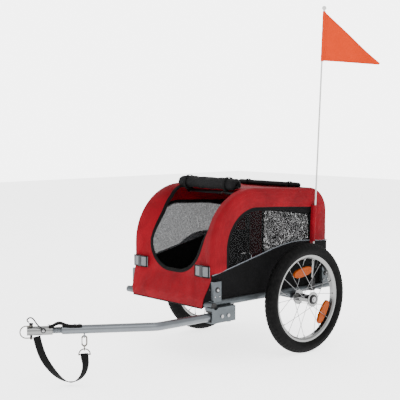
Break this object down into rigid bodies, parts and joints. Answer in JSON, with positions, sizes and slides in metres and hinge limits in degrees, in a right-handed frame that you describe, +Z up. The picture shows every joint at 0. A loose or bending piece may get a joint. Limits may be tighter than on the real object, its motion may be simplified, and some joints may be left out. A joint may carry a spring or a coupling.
{
  "type": "bicycle pet trailer",
  "caption": "Two-wheeled pet trailer for a bicycle: folding steel frame, arched fabric cabin with open front, swinging tow arm with flexible hitch, and a flag on a rod.",
  "frame": {"origin": "on the ground, at the middle of the trailer's bounding box", "axes": "+Z up, -Y is the direction of towing, +X is the trailer's left side, where the tow arm is"},
  "size_m": [0.636, 1.3883, 1.2595],
  "materials": {
    "zinc_steel": "zinc-plated, satin",
    "black_paint": "satin powder coat",
    "bright_steel": "bright plated",
    "alloy": "polished alloy",
    "black_plastic": "moulded, fine grain",
    "red_fabric": "coated woven polyester",
    "black_fabric": "coated woven polyester",
    "mesh_fabric": "open knitted mesh",
    "webbing": "woven webbing",
    "tyre": "moulded rubber",
    "reflector": "prismatic",
    "pennant": "fluorescent woven nylon",
    "white_rod": "fibreglass",
    "silver_tape": "reflective tape"
  },
  "bodies": {
    "root": {"left_rail": "zinc_steel", "right_rail": "zinc_steel", "cross_tubes": "zinc_steel", "end_plugs": "black_plastic", "axle_beam": "zinc_steel", "axle_saddles": "zinc_steel", "hinge_brackets": "zinc_steel", "hinge_pins": "bright_steel", "floor_panel": "black_fabric", "side_skirts": "black_fabric", "flag_socket": "black_plastic", "arm_receiver": "zinc_steel", "receiver_liner": "black_plastic", "receiver_bolts": "bright_steel", "left_axle": "bright_steel", "right_axle": "bright_steel", "front_cover": "red_fabric", "roof_cover": "red_fabric", "rear_cover": "red_fabric", "front_roll": "black_fabric", "rear_roll": "black_fabric", "reflective_tabs": "silver_tape"},
    "left_wheel": {"left_tyre": "tyre", "left_rim": "alloy", "left_spokes": "bright_steel", "left_hub": "alloy", "left_reflectors": "reflector"},
    "right_wheel": {"right_tyre": "tyre", "right_rim": "alloy", "right_spokes": "bright_steel", "right_hub": "alloy", "right_reflectors": "reflector"},
    "left_release": {"left_button": "bright_steel"},
    "right_release": {"right_button": "bright_steel"},
    "tow_arm": {"tow_arm": "zinc_steel", "strap_eye": "zinc_steel", "flex_spring": "zinc_steel", "safety_strap": "webbing", "strap_ring": "bright_steel", "snap_hook": "bright_steel", "tether_strap": "webbing"},
    "hitch": {"hitch_sleeve": "alloy", "hitch_pin": "black_plastic", "pin_lanyard": "webbing"},
    "bail": {"hitch_bail": "bright_steel"},
    "hook_gate": {"snap_gate": "bright_steel"},
    "left_side": {"left_arch": "black_paint", "left_side_cover": "red_fabric", "left_lower_panel": "black_fabric", "left_window_mesh": "mesh_fabric", "flag_pocket": "red_fabric"},
    "right_side": {"right_arch": "black_paint", "right_side_cover": "red_fabric", "right_lower_panel": "black_fabric", "right_window_mesh": "mesh_fabric"},
    "left_bars": {"left_top_bars": "black_paint"},
    "right_bars": {"right_top_bars": "black_paint"},
    "flag": {"flag_rod": "white_rod", "flag_tip": "white_rod"},
    "pennant": {"pennant": "pennant"}
  },
  "joints": [
    {"name": "left_wheel_spin", "type": "hinge", "parent": "root", "child": "left_wheel", "pos_m": [0.273, 0.3289, 0.2], "axis": [1, 0, 0], "continuous": true},
    {"name": "right_wheel_spin", "type": "hinge", "parent": "root", "child": "right_wheel", "pos_m": [-0.273, 0.3289, 0.2], "axis": [1, 0, 0], "continuous": true},
    {"name": "left_release_press", "type": "slide", "parent": "root", "child": "left_release", "axis": [-1, 0, 0], "range_m": [0, 0.003], "stiffness_N_per_m": 400},
    {"name": "right_release_press", "type": "slide", "parent": "root", "child": "right_release", "axis": [1, 0, 0], "range_m": [0, 0.003], "stiffness_N_per_m": 400},
    {"name": "tow_arm_fold", "type": "hinge", "parent": "root", "child": "tow_arm", "pos_m": [0.224, -0.0081, 0.181], "axis": [0, 0, 1], "range_deg": [-70, 0]},
    {"name": "hitch_flex", "type": "hinge", "parent": "tow_arm", "child": "hitch", "pos_m": [0.05107, -0.58876, 0.181], "axis": [0, 0, 1], "range_deg": [-35, 35], "stiffness_Nm_per_rad": 8, "deforming": ["flex_spring", "tether_strap", "safety_strap"]},
    {"name": "bail_swing", "type": "hinge", "parent": "hitch", "child": "bail", "pos_m": [0.00696, -0.65729, 0.1995], "axis": [-0.8409, 0.5412, 0], "range_deg": [0, 100]},
    {"name": "hook_gate_press", "type": "hinge", "parent": "tow_arm", "child": "hook_gate", "pos_m": [0.09275, -0.52401, 0.136], "axis": [-0.8409, 0.5412, 0], "range_deg": [0, 25], "stiffness_Nm_per_rad": 0.05},
    {"name": "left_side_fold", "type": "hinge", "parent": "root", "child": "left_side", "pos_m": [0.202, 0.3289, 0.268], "axis": [0, -1, 0], "range_deg": [0, 90], "deforming": ["front_cover", "roof_cover", "rear_cover", "front_roll", "rear_roll", "reflective_tabs", "flag_pocket"]},
    {"name": "right_side_fold", "type": "hinge", "parent": "root", "child": "right_side", "pos_m": [-0.202, 0.3289, 0.268], "axis": [0, 1, 0], "range_deg": [0, 75]},
    {"name": "left_bar_fold", "type": "hinge", "parent": "left_side", "child": "left_bars", "pos_m": [0.184, 0.3289, 0.576], "axis": [0, -1, 0], "range_deg": [0, 95.1]},
    {"name": "right_bar_fold", "type": "hinge", "parent": "right_side", "child": "right_bars", "pos_m": [-0.184, 0.3289, 0.576], "axis": [0, 1, 0], "range_deg": [0, 95.1]},
    {"name": "flag_lift", "type": "slide", "parent": "root", "child": "flag", "axis": [0, 0.0532, 0.9986], "range_m": [0, 0.15]},
    {"name": "pennant_swivel", "type": "hinge", "parent": "flag", "child": "pennant", "pos_m": [0.2265, 0.4169, 0.237], "axis": [0, 0.0532, 0.9986], "continuous": true}
  ],
  "couplings": [
    {"joint": "left_bar_fold", "follows": "left_side_fold", "ratio": 1.0556},
    {"joint": "right_bar_fold", "follows": "right_side_fold", "ratio": 1.2667}
  ]
}
